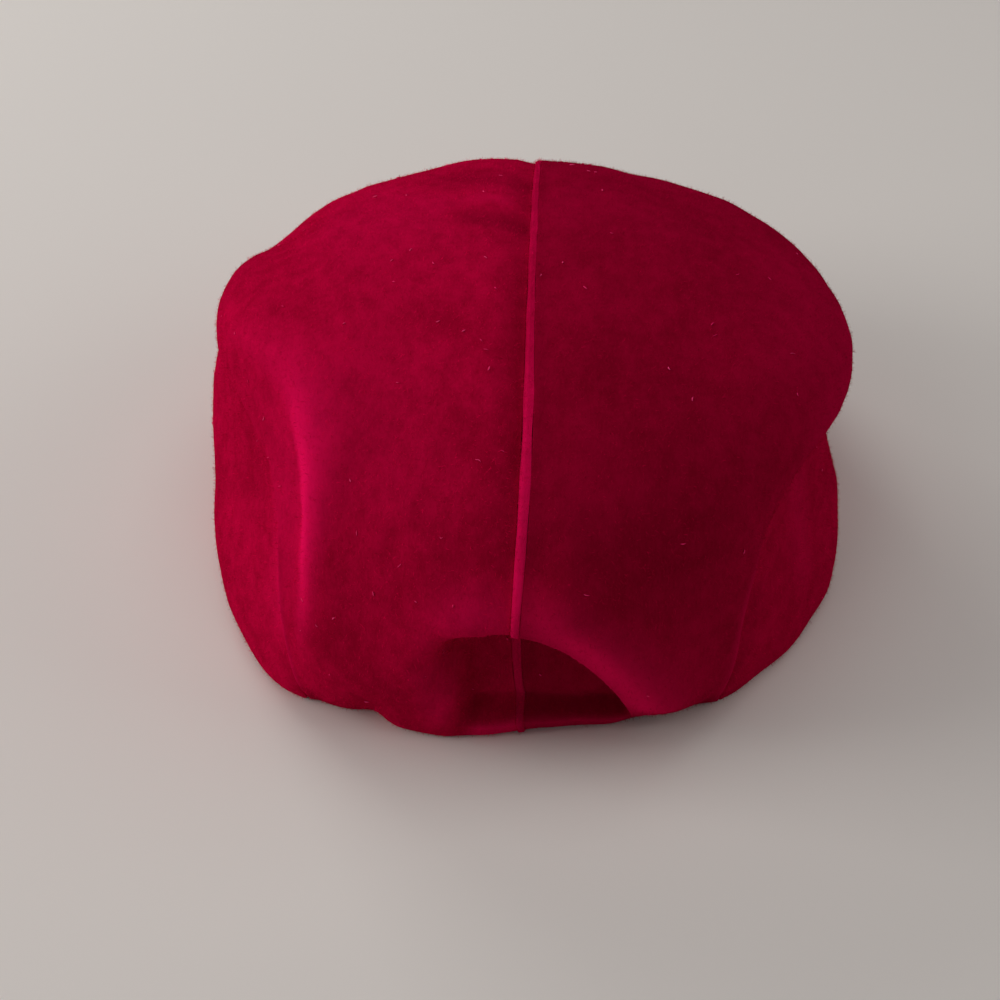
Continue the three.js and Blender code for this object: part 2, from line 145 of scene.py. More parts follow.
sideSeam = {
    "left": sections(seamColumns, (
        (-67, -78, 0, 0, 0, 0.30, 0.12),
        (-70, -80, 12, 0, 0, 0.34, 0.30),
        (-72, -79, 26, 0, 0, 0.42, 0.40),
        (-73.5, -75, 40, -5, 0, 0.46, 0.40),
        (-74, -68, 53, -12, 4, 0.50, 0.42),
        (-75, -57, 64, -15, 10, 0.54, 0.44),
        (-79, -43, 72, -10, 16, 0.55, 0.44),
        (-88, -24, 75, 0, 18, 0.52, 0.42),
        (-97, -3, 71, 10, 18, 0.46, 0.38),
        (-102, 20, 63, 16, 14, 0.36, 0.34),
        (-97, 44, 50, 18, 10, 0.32, 0.32),
        (-89, 66, 39, 14, 6, 0.28, 0.32),
        (-82, 83, 30, 8, 2, 0.34, 0.34),
        (-77, 93, 19, 2, 0, 0.36, 0.36),
        (-73, 99, 8, 0, 0, 0.38, 0.38))),
    "right": sections(seamColumns, (
        (60, -74, 0, 0, 0, 0.30, 0.12),
        (61, -77, 12, 0, 0, 0.34, 0.30),
        (63, -77, 26, 0, 0, 0.42, 0.40),
        (65, -72, 40, 5, 0, 0.46, 0.40),
        (68, -64, 51, 10, 6, 0.50, 0.42),
        (72, -52, 58, 16, 10, 0.54, 0.44),
        (79.5, -37, 63, 26, 10, 0.55, 0.42),
        (89.5, -18, 66.5, 38, 6, 0.48, 0.41),
        (93.5, 4, 64, 46, 2, 0.38, 0.40),
        (95, 27, 57, 40, 2, 0.29, 0.37),
        (97, 50, 46, 24, 10, 0.30, 0.32),
        (90, 70, 38, 14, 5, 0.28, 0.32),
        (80, 85, 28, 6, 2, 0.34, 0.34),
        (75, 93, 18, 2, 0, 0.36, 0.36),
        (72, 99, 8, 0, 0, 0.38, 0.38))),
}
sideHem = {
    "left": sections(("x", "y", "z"), (
        (-67, -78, 0), (-75, -74, 0), (-82.5, -66.5, 0), (-90, -53.8, 0), (-96, -40, 0),
        (-100, -23, 0), (-101, -4, 0), (-100, 16, 0), (-97, 36, 0), (-92, 54, 1),
        (-84, 70, 2), (-79, 80, 4), (-76, 87, 5), (-74, 91, 6), (-72, 95, 7))),
    "right": sections(("x", "y", "z"), (
        (60, -74, 0), (66, -70, 0), (74, -62, 0), (83.5, -52, 0), (91, -39.5, 0),
        (98.5, -24, 0), (101, -5, 0), (100.5, 15, 0), (95, 35, 0), (89, 54, 1),
        (81, 70, 2), (77, 80, 4), (74, 87, 5), (72, 91, 6), (71, 95, 7))),
}


# height of the peak's upper face: an arch across, falling towards the edge
def peakTop(x, y):
    arch = peak["arch"] * (1 - (x / peak["half"]) ** 2)
    return peak["base"] + arch - peak["slope"] * (y - peak["corner"])


def bezier(p0, p1, p2, p3, t):
    t = t[..., None]
    return (1 - t) ** 3 * p0 + 3 * (1 - t) ** 2 * t * p1 + 3 * (1 - t) * t ** 2 * p2 + t ** 3 * p3


# a direction turned towards another by degrees
def turned(direction, towards, degrees):
    angle = np.radians(degrees)[..., None]
    return direction * np.cos(angle) + towards * np.sin(angle)


# a point of the side seam, whose front end sinks to the peak
def seamPoint(side, s):
    row, end = sideSeam[side](s), sideSeam[side](np.array(1.0))
    drop = peakTop(end["x"], end["y"]) + cap["gap"] - end["z"]
    return stack(row["x"], row["y"], row["z"] + drop * smooth(cap["seatFrom"], 1, s))


# that point with its directions: outward from the head, down across the seam, and facing out
def seamFrame(side, s):
    row, (middleX, middleY) = sideSeam[side](s), cap["headCentre"]
    along = unit(seamPoint(side, s + smallStep) - seamPoint(side, s - smallStep))
    outward = unit(stack(row["x"] - middleX, row["y"] - middleY, 0 * row["x"]))
    down = unit(np.cross(outward, along) * -signOf[side])
    facing = unit(np.cross(down, along) * signOf[side])
    return {**row, "point": seamPoint(side, s), "outward": outward, "down": down, "facing": facing}


# top panel: a bezier from the welt (w = 0), leaving level, to the side seam (w = 1)
def crownForm(side, s, w):
    row, seam, sign = centreSeam(s), seamFrame(side, s), signOf[side]
    start = stack(row["x"] + sign * (row["width"] / 2 + cap["gap"]), row["y"], row["z"])
    reach = np.linalg.norm(seam["point"] - start, axis=-1, keepdims=True)
    arrive = turned(seam["down"], seam["outward"], -seam["lean"])
    arrive[..., 2] *= smooth(0, cap["tiltTo"], s)
    arrive = unit(arrive)
    leave = np.array((sign, 0.0, 0.0))
    return bezier(start, start + leave * seam["crownPull"][..., None] * reach,
                  seam["point"] - arrive * seam["seamPull"][..., None] * reach, seam["point"], w)


# side panel: a bezier from the side seam (h = 0) down to the hem (h = 1)
def sideForm(side, s, h):
    seam, row = seamFrame(side, s), sideHem[side](s)
    start = seam["point"] + seam["down"] * cap["gap"]
    end = stack(row["x"], row["y"], np.maximum(row["z"], 0))
    reach = np.linalg.norm(end - start, axis=-1, keepdims=True)
    leave = turned(-up, seam["outward"], seam["flare"])
    arrive = -up - seam["outward"] * cap["hemTuck"][side]
    return bezier(start, start + leave * cap["sidePull"] * reach,
                  end - arrive * cap["hemPull"] * reach, end, h)


# outward normal of a form, by differences
def formNormal(form, side, a, b):
    alongA = form(side, np.minimum(a + smallStep, 1), b) - form(side, np.maximum(a - smallStep, 0), b)
    alongB = form(side, a, np.minimum(b + smallStep, 1)) - form(side, a, np.maximum(b - smallStep, 0))
    return unit(np.cross(alongB, alongA) * signOf[side])


# beside a side seam both panels face one way, so that their walls meet
def blendedNormal(form, side, a, b, points):
    seam = seamFrame(side, a)
    near = 1 - smooth(0, cap["seamBlend"], np.linalg.norm(points - seam["point"], axis=-1))
    return mix(formNormal(form, side, a, b), seam["facing"], near[..., None])


# Stations of the grids: runs of even steps, finer along the back and at the ends
grid = {
    "crownRows": ((0, 0.012, 10), (0.012, 0.24, 112), (0.24, 0.985, 158), (0.985, 1, 8)),
    "crownColumns": 124,
    "sideRows": ((0.018, 0.06, 24), (0.06, 0.93, 140), (0.93, 0.972, 24)),
    "sideColumns": 52,
    "edges": (0, 0.1, 0.3, 0.6, 1.0, 1.6, 2.6, 4.0),   # columns beside an edge, in millimetres
    "fine": 241,                                       # samples that measure a row's length
}


# the runs share their ends, which count once
def joinedRuns(runs):
    return np.unique(np.concatenate([np.linspace(*run) for run in runs]))


crownRows, sideRows = joinedRuns(grid["crownRows"]), joinedRuns(grid["sideRows"])


# stations across a panel: fixed steps beside both edges and even ones between, by length
def stationsAcross(form, side, s, count):
    edgeSteps, fine = grid["edges"], np.linspace(0, 1, grid["fine"])
    points = form(side, *np.meshgrid(s, fine, indexing="ij"))
    arc = np.cumsum(np.linalg.norm(np.diff(points, axis=1), axis=-1), 1)
    arc = np.hstack([np.zeros((len(s), 1)), arc])
    total = arc[:, -1:]
    edge = np.array(edgeSteps) * np.minimum(1, total / (4 * edgeSteps[-1]))   # both within half the row
    room = np.linspace(0, 1, count + 2)[1:-1]
    target = np.hstack([edge, mix(edge[:, -1:], total - edge[:, -1:], room), total - edge[:, ::-1]])
    share = np.array([np.interp(t, a, fine) for t, a in zip(target, arc)])
    return share, target, total - target


# quarter circle: how far the surface falls at a distance from its edge
def edgeRoll(distance, radius):
    inside = np.clip(radius - distance, 0, radius)
    return radius - np.sqrt(radius ** 2 - inside ** 2)


# Soft folds, each a line between two places on a panel, (s, w) on the top and (s, h) on the side,
# with its rise at both ends and its painted highlight (above 0) or painted shade (below 0)
foldColumns = ("side", "from", "to", "rise", "reach", "paintedFoldLight")
topFolds = [dict(zip(foldColumns, row)) for row in (
    ("left", (0.66, 0.61), (0.47, 0.57), (-4.4, -0.8), 11, 0),          # shoulder
    ("left", (0, 0.34), (0, 0.42), (2.2, 2.2), 13, 0),                  # hem, left
    ("left", (0.09, 0.59), (0, 0.60), (-1.0, -2.0), 5, 0),
    ("left", (0, 0.64), (0, 0.80), (-1.4, -1.4), 7, 0),
    ("left", (0.07, 0.21), (0.03, 0.22), (-1.2, -1.2), 3.5, -0.2),
    ("left", (0.14, 0.30), (0.07, 0.31), (0, 0), 8, 0.2),
    ("left", (0.18, 0.05), (0.09, 0.06), (0, 0), 9, -0.32),
    ("left", (0.12, 0.50), (0.06, 0.50), (0, 0), 8, -0.15),
    ("left", (0.05, 0.93), (0.01, 0.93), (-0.6, -0.6), 3.5, -0.3),
    ("right", (0, 0.10), (0, 0.22), (-3, -3), 12, 0),                   # hem, right
    ("right", (0, 0.5), (0, 0.78), (-2.2, -2.2), 6, 0),
    ("left", (0.655, 0.18), (0.645, 0.03), (-0.3, -0.6), 11, -0.4),     # puckers, painted shade in them and a painted highlight between
    ("left", (0.612, 0.12), (0.606, 0.05), (0.8, 0.8), 4, 0.1),
    ("left", (0.588, 0.12), (0.583, 0.02), (-1.0, -1.8), 6, -0.5),
    ("left", (0.39, 0.43), (0.43, 0.45), (0, 0), 20, 0.06),             # patches of painted highlight and painted shade
    ("left", (0.27, 0.68), (0.18, 0.68), (0, 0), 14, -0.15),
    ("left", (0.60, 0.24), (0.60, 0.34), (0, 0), 24, 0.1),
    ("left", (0.60, 0.80), (0.66, 0.72), (0, 0), 14, -0.24),
    ("right", (0.716, 0.53), (0.69, 0.65), (1.6, 1.6), 15, 0),          # fuller towards the peak
    ("right", (0.66, 0.03), (0.59, 0.06), (0, 0), 7, 0.12),
    ("right", (0.40, 0.28), (0.35, 0.34), (0, 0), 30, -0.14),
    ("right", (0.50, 0.62), (0.60, 0.60), (0, 0), 18, 0.12),
    ("right", (0.46, 0.84), (0.58, 0.82), (0, 0), 8, 0.2),
    ("right", (0.64, 0.16), (0.60, 0.30), (0, 0), 14, 0.06),
)]
sideFolds = [dict(zip(foldColumns, row)) for row in (
    ("left", (0.43, 0.18), (0.56, 0.14), (-2.4, -3.0), 12, -0.1),       # hollow under the seam, with painted shade
    ("left", (0.52, 0.44), (0.44, 0.70), (1.7, 1.7), 15, 0),            # fuller below it
    ("left", (0.20, 0), (0.36, 0), (0, 0), 8, 0.16),
    ("right", (0.30, 0.55), (0.50, 0.45), (0.8, 0.8), 14, 0),
    ("right", (0.43, 0.05), (0.355, 0.42), (0.5, 0.5), 6, 0.15),
    ("right", (0.10, 0.15), (0.27, 0.15), (0, 0), 6, -0.25),
)]
# the fold along the left seam: how far from the seam its painted highlight runs, how high it stands
# and how strong that painted highlight is
leftRidge = {
    "from": 0.08, "to": 0.61,
    "steep": 7.0, "gentle": 10.0,                   # reach towards the seam and away from it
    "crest": 4.0,                                   # the highest line lies beyond the painted highlight's line
    "highlightReach": (4.2, 8.0), "strip": 0.22,          # the strip is what lies next to the seam, with that share of the painted highlight
    "rows": sections(("away", "rise", "paintedLight"), (
        (6.5, 0, 0), (8.5, 1.5, 0.10), (11.6, 3.6, 0.34), (15.0, 5.0, 0.64),
        (21.4, 5.1, 0.68), (24.6, 3.8, 0.26), (16.8, 2.0, 0.08), (15.0, 0, 0))),
}
puff = {"left": 1.5, "right": 0.8, "reach": 9.0, "from": 0.2, "to": 0.9, "across": 0.4}
waves = (   # undulation of the felt: size, height, seed
    (46.0, 0.45, 3), (17.0, 0.20, 11), (7.0, 0.07, 23),
)
# the pushed-in back: an arch over the hem, soft on the left and crisp on the right, where it
# steps in over the hem; its edge stands up as a lip, and a painted highlight lies on the lip and on the hem
dent = {
    "middle": -10.0, "half": {"left": 28.5, "right": 41.5}, "height": 54.5,
    "flat": {"left": 3.4, "right": 2.3}, "archRound": 1.8, "leastSlope": 1e-3,
    "sideFrom": 0.1, "sideTo": {"left": 0.9, "right": 0.55},   # shares where its top turns into a side
    "leftLean": 15.0, "leftFrom": 12.0, "leftTo": 46.0,
    "shelf": 9.0, "shelfFrom": 5.0, "shelfTo": 10.0, "rightLean": 7.0, "rightTo": 36.0,
    "turnFrom": -20.0, "turnTo": -13.0,          # x between the left form and the right one
    "topSoft": {"left": 14.0, "right": 7.0}, "sideSoft": {"left": 42.0, "right": 4.0}, "under": 0.3,
    "topLip": 3.4, "sideLip": {"left": 0, "right": 6.5}, "topOut": 3.0, "sideOut": 10.0,
    "lipReach": 8.5, "lipFrom": 4.0, "lipTo": 26.0,
    "topHighlight": 0.3, "sideHighlight": {"left": 0, "right": 0.95}, "highlightOut": 4.5, "highlightReach": 6.5,
    "hemHighlight": 0.42, "hemTo": 7.0,                # painted highlight on the hem below the step
}


# sums of the folds' rises and of their painted highlight and painted shade: each fades as a bell with the
# distance from its line
def foldShape(form, folds, points):
    rise, paintedFoldLight = np.zeros((2, *points.shape[:-1]))
    for fold in folds:
        ends = np.array([fold["from"], fold["to"]])
        a, b = form(fold["side"], ends[:, 0], ends[:, 1])
        along = np.clip((points - a) @ (b - a) / ((b - a) @ (b - a)), 0, 1)
        away = np.linalg.norm(points - a - along[..., None] * (b - a), axis=-1)
        bell = np.exp(-(away / fold["reach"]) ** 2)
        rise += mix(fold["rise"][0], fold["rise"][1], along) * bell
        paintedFoldLight += fold["paintedFoldLight"] * bell
    return rise, paintedFoldLight


# rise of the ridge, and its painted highlight along the crest
def ridgeShape(s, fromSeam):
    share = (s - leftRidge["from"]) / (leftRidge["to"] - leftRidge["from"])
    row = leftRidge["rows"](share)
    out = fromSeam - row["away"]
    reach = np.where(out < leftRidge["crest"], leftRidge["steep"], leftRidge["gentle"])
    highlightReach = np.where(out < 0, *leftRidge["highlightReach"])
    line = np.maximum(np.exp(-(out / highlightReach) ** 2), np.where(out < 0, leftRidge["strip"], 0))
    return row["rise"] * np.exp(-((out - leftRidge["crest"]) / reach) ** 2), row["paintedLight"] * line


# push of the dent towards the front, the rise of the lip round it and the painted highlight on lip and hem:
# all follow the distance outside an arch where share ** flat + (z / height) ** archRound = 1
def dentShape(points):
    x, z = points[..., 0] - dent["middle"], np.maximum(points[..., 2], 0)
    right, back = x > 0, points[..., 1] < 0

    def sided(name):
        return np.where(right, dent[name]["right"], dent[name]["left"])

    half, flat, archRound = sided("half"), sided("flat"), dent["archRound"]
    share, level = np.abs(x) / half, z / dent["height"]
    inside = 1 - share ** flat - level ** archRound
    slope = np.hypot(flat * share ** (flat - 1) / half,
                     archRound * level ** (archRound - 1) / dent["height"])
    deep = inside / np.maximum(slope, dent["leastSlope"])
    toSide = smooth(dent["sideFrom"], sided("sideTo"), share)
    toRight = np.where(right, toSide, 0)
    turn = smooth(dent["turnFrom"], dent["turnTo"], points[..., 0])
    aboveHem = smooth(dent["lipFrom"], dent["lipTo"], z)

    fall = np.clip(deep / mix(sided("topSoft"), sided("sideSoft"), toSide), 0, 1)
    fall = mix(smooth(0, 1, fall), 1 - (1 - fall) ** 2, toRight)
    leftDepth = dent["leftLean"] * smooth(dent["leftFrom"], dent["leftTo"], z)
    rightDepth = dent["shelf"] * smooth(dent["shelfFrom"], dent["shelfTo"], z)
    rightDepth = rightDepth + dent["rightLean"] * smooth(dent["shelfTo"], dent["rightTo"], z)
    push = np.where(back, mix(leftDepth, rightDepth, turn) * fall, 0)
    way = stack(dent["under"] * toRight, 1.0, dent["under"] * (1 - toSide))

    crest = mix(dent["topOut"], dent["sideOut"], toSide)
    lip = mix(dent["topLip"], sided("sideLip"), toSide) * aboveHem
    lip = np.where(back, lip * np.exp(-((deep + crest) / dent["lipReach"]) ** 2), 0)

    # painted highlight on the lip, and on the hem below the step
    paintedLight = mix(dent["topHighlight"], sided("sideHighlight"), toSide)
    paintedLight = paintedLight * np.exp(-((deep + dent["highlightOut"]) / dent["highlightReach"]) ** 2) * aboveHem
    onHem = turn * smooth(0, dent["sideSoft"]["right"], deep)
    onHem = onHem * dent["hemHighlight"] * (1 - smooth(dent["shelfFrom"], dent["hemTo"], z))
    paintedLight = np.where(back, np.maximum(paintedLight, onHem), 0)
    return push[..., None] * way, lip, paintedLight


# wall thickness: the turned hem up to its raw edge, then single felt
def wallAt(height):
    edge = smooth(cap["hemDepth"] - cap["hemStep"], cap["hemDepth"], height)
    return mix(cap["hem"], cap["cloth"], edge)


def undulation(points):
    return sum(height * softWaves(points, size, seed) for size, height, seed in waves)


# each point near the front sinks with its own front end, and the end itself lies on the peak
def seatOnPeak(points, s, front):
    drop = peakTop(front[..., 0], front[..., 1]) + cap["gap"] - front[..., 2]
    points[..., 2] += drop * smooth(cap["seatFrom"], 1, s)
    onPeak = peakTop(points[..., 0], points[..., 1]) + cap["gap"]
    points[..., 2] = np.where(s == 1, onPeak, points[..., 2])
    return points


# Meshes
def gridQuads(n, m, first=0):
    index = first + np.arange(n * m).reshape(n, m)
    return np.stack([index[:-1, :-1], index[1:, :-1], index[1:, 1:], index[:-1, 1:]], -1).reshape(-1, 4)


# points in the tables' millimetres become a smooth mesh in metres, with a map for its finish
def meshPiece(name, points, quads, chart):
    mesh = bpy.data.meshes.new(name)
    place = (points + shift) * mm
    mesh.vertices.add(len(place))
    mesh.vertices.foreach_set("co", place.astype(np.float32).ravel())
    mesh.loops.add(quads.size)
    mesh.loops.foreach_set("vertex_index", quads.astype(np.int32).ravel())
    mesh.polygons.add(len(quads))
    mesh.polygons.foreach_set("loop_start", np.arange(0, quads.size, 4, dtype=np.int32))
    mesh.update(calc_edges=True)
    mesh.polygons.foreach_set("use_smooth", np.ones(len(quads), bool))
    layer = mesh.uv_layers.new(name="OFBake")
    layer.data.foreach_set("uv", chart.astype(np.float32).ravel())
    mesh.validate()
    piece = bpy.data.objects.new(name, mesh)
    bpy.context.scene.collection.objects.link(piece)
    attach(piece, "root")
    return piece


# across the map: where the outer sheet ends, the rim lies and the inner sheet starts
chartOf = {"outer": 0.48, "rim": (0.49, 0.51), "inner": 0.52}


# outer and inner sheet joined round their rim; the volume's sign turns the faces outward
def closedWall(name, outer, inner):
    n, m = outer.shape[:2]
    points = np.concatenate([outer.reshape(-1, 3), inner.reshape(-1, 3)])
    index = np.arange(n * m).reshape(n, m)
    rim = np.concatenate([index[0, :-1], index[:-1, -1], index[-1, :0:-1], index[:0:-1, 0]])
    nextRim = np.roll(rim, -1)
    band = np.stack([rim, nextRim, nextRim + n * m, rim + n * m], -1)
    quads = np.concatenate([gridQuads(n, m), gridQuads(n, m, n * m)[:, ::-1], band])
    down, across = np.meshgrid(np.linspace(0, 1, n), np.linspace(0, chartOf["outer"], m), indexing="ij")
    flat = np.stack([across, down], -1).reshape(-1, 2)
    flat = np.concatenate([flat, flat + (chartOf["inner"], 0)])
    chart = flat[quads]
    along = np.arange(len(rim)) / len(rim)
    step = 1 / len(rim)
    chart[-len(rim):, :, 0] = np.repeat(chartOf["rim"], 2)
    chart[-len(rim):, :, 1] = along[:, None] + np.array((0, step, step, 0))
    a, b, c, d = (points[quads[:, k]] for k in range(4))
    volume = (a * np.cross(b, c)).sum() + (a * np.cross(c, d)).sum()
    if volume < 0:
        quads, chart = quads[:, ::-1], chart[:, ::-1]
    return meshPiece(name, points, quads, chart)


# the welt lies over to the right: level with that panel, proud of the valley on its left
welt = {
    "proud": 0.8, "topProud": 0.4, "backTo": 0.25, "topFrom": 0.45, "columns": 19,
    "wobble": 0.1, "widthWave": (16, 7), "heightWave": (11, 19),   # size and seed
    "shoulder": 4,                                # power of the slope down to the right panel
    "faint": 0.5, "faintTo": 6.0,                 # lower where the dent pushes it in
    "edge": {"left": -1.9, "right": 0.4}, "reach": {"left": 5.0, "right": 2.4},
    "round": 0.14, "valleyShade": -0.35, "valleyReach": 4.5,
}
# the thin raised line along a side seam, with a painted highlight on it, up to where it fades
sideSeamRise = {
    "height": 0.5, "reach": {"left": 1.2, "right": 2.2}, "round": 0.25,
    "paintedLight": {"left": 0.3, "right": 0.4}, "fadeFrom": 0.26, "fadeTo": 0.36,
}
paintedLightOfPiece = {}   # for each panel, where painted highlight (up to 1) or painted shade (down to -1) lies


def weltEnds(s):
    return smooth(0, puff["from"], s) * (1 - smooth(puff["to"], 1, s))


# how far the panel's edge beside the welt stands above the form
def weltEdge(side, s):
    share = centreSeam(s)["valley"] if side == "left" else weltEnds(s)
    return welt["edge"][side] * share


# top panel: form + normal * (folds + lip + puff + welt edge + ridge + undulation + seam line - rolled
# edges) + the dent's push
def crownSheets(side):
    w, fromWelt, fromSeam = stationsAcross(crownForm, side, crownRows, grid["crownColumns"])
    s = np.broadcast_to(crownRows[:, None], w.shape)
    form = crownForm(side, s, w)
    normal = blendedNormal(crownForm, side, s, w, form)
    normal[..., 2] *= smooth(0, cap["levelTo"], s)
    normal = unit(normal)
    # the dent's push, its lip and the painted highlight on lip and hem
    push, lip, paintedLight = dentShape(form)
    nearWelt = np.exp(-((form[..., 0] - centreSeam(s)["x"]) / puff["reach"]) ** 2)
    rise, paintedFoldLight = foldShape(crownForm, topFolds, form)
    rise = rise + lip + puff[side] * (1 - nearWelt) * weltEnds(s) * (1 - smooth(puff["across"], 1, w))
    rise = rise + weltEdge(side, s) * np.exp(-(fromWelt / welt["reach"][side]) ** 2)
    if side == "left":
        # the ridge's rise and its painted highlight
        ridge, ridgeHighlight = ridgeShape(s, np.linalg.norm(form - seamFrame(side, s)["point"], axis=-1))
        rise, paintedLight = rise + ridge, np.maximum(paintedLight, ridgeHighlight)
        # painted shade in the valley beside the welt
        inValley = np.exp(-(fromWelt / welt["valleyReach"]) ** 2)
        paintedFoldLight = paintedFoldLight + welt["valleyShade"] * centreSeam(s)["valley"] * inValley
    even = cap["evenBeside"]
    rise = rise + undulation(form) * smooth(0, even, fromWelt) * smooth(0, even, fromSeam)
    seamLine = np.exp(-(fromSeam / sideSeamRise["reach"][side]) ** 2)
    seamLine = seamLine * (1 - smooth(sideSeamRise["fadeFrom"], sideSeamRise["fadeTo"], s))
    rise = rise + sideSeamRise["height"] * seamLine
    roll = np.maximum(edgeRoll(fromWelt, welt["round"]), edgeRoll(fromSeam, sideSeamRise["round"]))
    roll = np.maximum(roll, edgeRoll((1 - s) * cap["topLength"], cap["edgeRound"]))
    height = np.where(s < cap["backTo"], form[..., 2], cap["hemDepth"])
    hem = edgeRoll(height, cap["hemRound"])
    outer = form + normal * (rise - np.maximum(roll, hem))[..., None] + push
    inner = form + normal * (rise + np.maximum(roll, hem) - wallAt(height))[..., None] + push
    front = crownForm(side, np.ones_like(w), w)
    # painted highlight on the lip, hem, ridge and seam line, with the folds' painted highlight and painted
    # shade
    paintedLightOfPiece["crown_" + side] = np.maximum(paintedLight, sideSeamRise["paintedLight"][side] * seamLine) + paintedFoldLight
    return seatOnPeak(outer, s, front), seatOnPeak(inner, s, front)


# side panel: form + normal * (folds + undulation - rolled edges)
def sideSheets(side):
    h, fromSeam, fromHem = stationsAcross(sideForm, side, sideRows, grid["sideColumns"])
    s = np.broadcast_to(sideRows[:, None], h.shape)
    form = sideForm(side, s, h)
    normal = blendedNormal(sideForm, side, s, h, form)
    normal[..., 2] *= 1 - smooth(cap["hemLevelFrom"], 1, h)
    normal = unit(normal)
    wall = wallAt(fromHem)
    thin = np.minimum(1, (fromSeam + fromHem) / cap["narrow"])
    rise, paintedFoldLight = foldShape(sideForm, [fold for fold in sideFolds if fold["side"] == side], form)
    flatter = smooth(0, cap["evenBeside"], fromSeam) * smooth(0, cap["evenAtHem"], fromHem)
    rise = rise + undulation(form) * flatter
    roll = np.maximum(edgeRoll(fromSeam, sideSeamRise["round"]), edgeRoll(fromHem, cap["hemRound"]))
    roll = roll * thin
    outer = form + normal * (rise - roll)[..., None]
    inner = form + normal * (rise + roll - wall)[..., None]
    # painted highlight and painted shade of the side panel's folds
    paintedLightOfPiece["side_" + side] = paintedFoldLight
    return outer, inner


# welt: a rib whose left half is a quarter round out of the valley and whose right half slopes
# down to the right panel, its width wavering along the seam
def weltSheets():
    across = np.sin(np.linspace(-np.pi / 2, np.pi / 2, welt["columns"]))
    s, u = np.meshgrid(crownRows, across, indexing="ij")
    row, before, after = centreSeam(s), centreSeam(s - smallStep), centreSeam(s + smallStep)
    normal = stack(0 * s, before["z"] - after["z"], after["y"] - before["y"])
    normal[..., 2] *= smooth(0, cap["levelTo"], s)
    normal = unit(normal)
    spine = stack(row["x"], row["y"], row["z"])
    half = row["width"] / 2 + welt["wobble"] * softWaves(spine, *welt["widthWave"])
    form = stack(row["x"] + half * u, row["y"], row["z"])
    push, lip = dentShape(form)[:2]
    rise = foldShape(crownForm, topFolds, form)[0] + lip
    height = np.where(s < cap["backTo"], form[..., 2], cap["hemDepth"])
    hem = edgeRoll(height, cap["hemRound"])
    onTop = smooth(welt["backTo"], welt["topFrom"], s)
    # painted highlight along the welt
    paintedLightOfPiece["centre_seam"] = row["paintedLight"]
    top = mix(welt["proud"], welt["topProud"], onTop)
    top = top + welt["wobble"] * softWaves(spine, *welt["heightWave"])
    top = top * mix(1, welt["faint"], smooth(0, welt["faintTo"], push[..., 1]))
    leftHalf = mix(weltEdge("left", s), top, np.sqrt(np.maximum(1 - u ** 2, 0)))
    crest = np.where(u < 0, leftHalf, mix(top, weltEdge("right", s), u ** welt["shoulder"]))
    outer = form + normal * (rise + crest - hem)[..., None] + push
    inner = form + normal * (rise + hem - wallAt(height))[..., None] + push
    front = centreSeam(np.ones_like(s))
    end = stack(front["x"] + half * u, front["y"], front["z"])
    return seatOnPeak(outer, s, end), seatOnPeak(inner, s, end)


# peak: from its sewn edge to a half-ellipse outline, thinned round the open edge
def peakSheets():
    across = 1 - np.linspace(1, 0, peak["columns"]) ** peak["crowd"]
    a, b = np.meshgrid(np.linspace(0, 1, peak["rows"]), across, indexing="ij")
    span = a * 2 - 1
    sewn = np.stack([span * (peak["half"] - peak["cornerWidth"]),
                     peak["headLine"] - peak["sag"] * span ** 2], -1)
    turn = span * np.pi / 2
    rim = np.stack([peak["half"] * np.sin(turn), mix(peak["corner"], peak["tip"], np.cos(turn))], -1)
    plan = mix(sewn, rim, b[..., None])
    fromRim = (1 - b) * np.linalg.norm(rim - sewn, axis=-1)
    fromSewn = np.linalg.norm(plan - sewn, axis=-1) + peak["sewnRound"]
    roll = edgeRoll(np.minimum(fromRim, fromSewn), peak["edgeRound"])
    top = peakTop(plan[..., 0], plan[..., 1])
    outer = stack(plan[..., 0], plan[..., 1], top - roll)
    inner = stack(plan[..., 0], plan[..., 1], top - peak["thick"] + roll)
    return outer, inner


sheets = {
    "crown_left": crownSheets("left"), "crown_right": crownSheets("right"),
    "centre_seam": weltSheets(),
    "side_left": sideSheets("left"), "side_right": sideSheets("right"),
    "peak": peakSheets(),
}
pieces = {}
for node, (outer, inner) in sheets.items():
    pieces[node] = closedWall(node + "_felt", outer, inner)
    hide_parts(node)
    print("felt", node, len(pieces[node].data.polygons), "faces")
# each panel's painted highlight and painted shade go on its outer sheet as an attribute, zero on the inner
# one
for node, paintedLight in paintedLightOfPiece.items():
    both = np.concatenate([paintedLight.ravel(), np.zeros(paintedLight.size)]).astype(np.float32)
    pieces[node].data.attributes.new("paintedLight", "FLOAT", "POINT").data.foreach_set("value", both)


# Nap: short fibres standing off the felt
fibres = {
    "count": {"crown_left": 30000, "crown_right": 30000, "side_left": 10000, "side_right": 10000,
              "centre_seam": 2500, "peak": 4000},
    "length": (0.6, 1.6), "width": 0.075, "tip": 0.3, "lean": (0.35, 0.95), "bend": 0.45,
    "sink": 0.1, "lowest": 0.02, "seed": 41,
}
chartCell = (0.1, 0.9)   # share of its square that a fibre takes in the map
outwardSign = {node: -1 if node.endswith("left") else 1 for node in fibres["count"]}


# random places on a sheet, even by area, with the way out of it
def scatter(sheet, count, rng, sign):
    a, b, c, d = sheet[:-1, :-1], sheet[1:, :-1], sheet[:-1, 1:], sheet[1:, 1:]
    across = np.cross(c - a, b - a) * sign
    area = np.linalg.norm(across, axis=-1).ravel()
    i, j = np.unravel_index(rng.choice(area.size, count, p=area / area.sum()), a.shape[:2])
    u, v = rng.random((2, count, 1))
    point = mix(mix(a[i, j], b[i, j], u), mix(c[i, j], d[i, j], u), v)
    return point, unit(across[i, j])


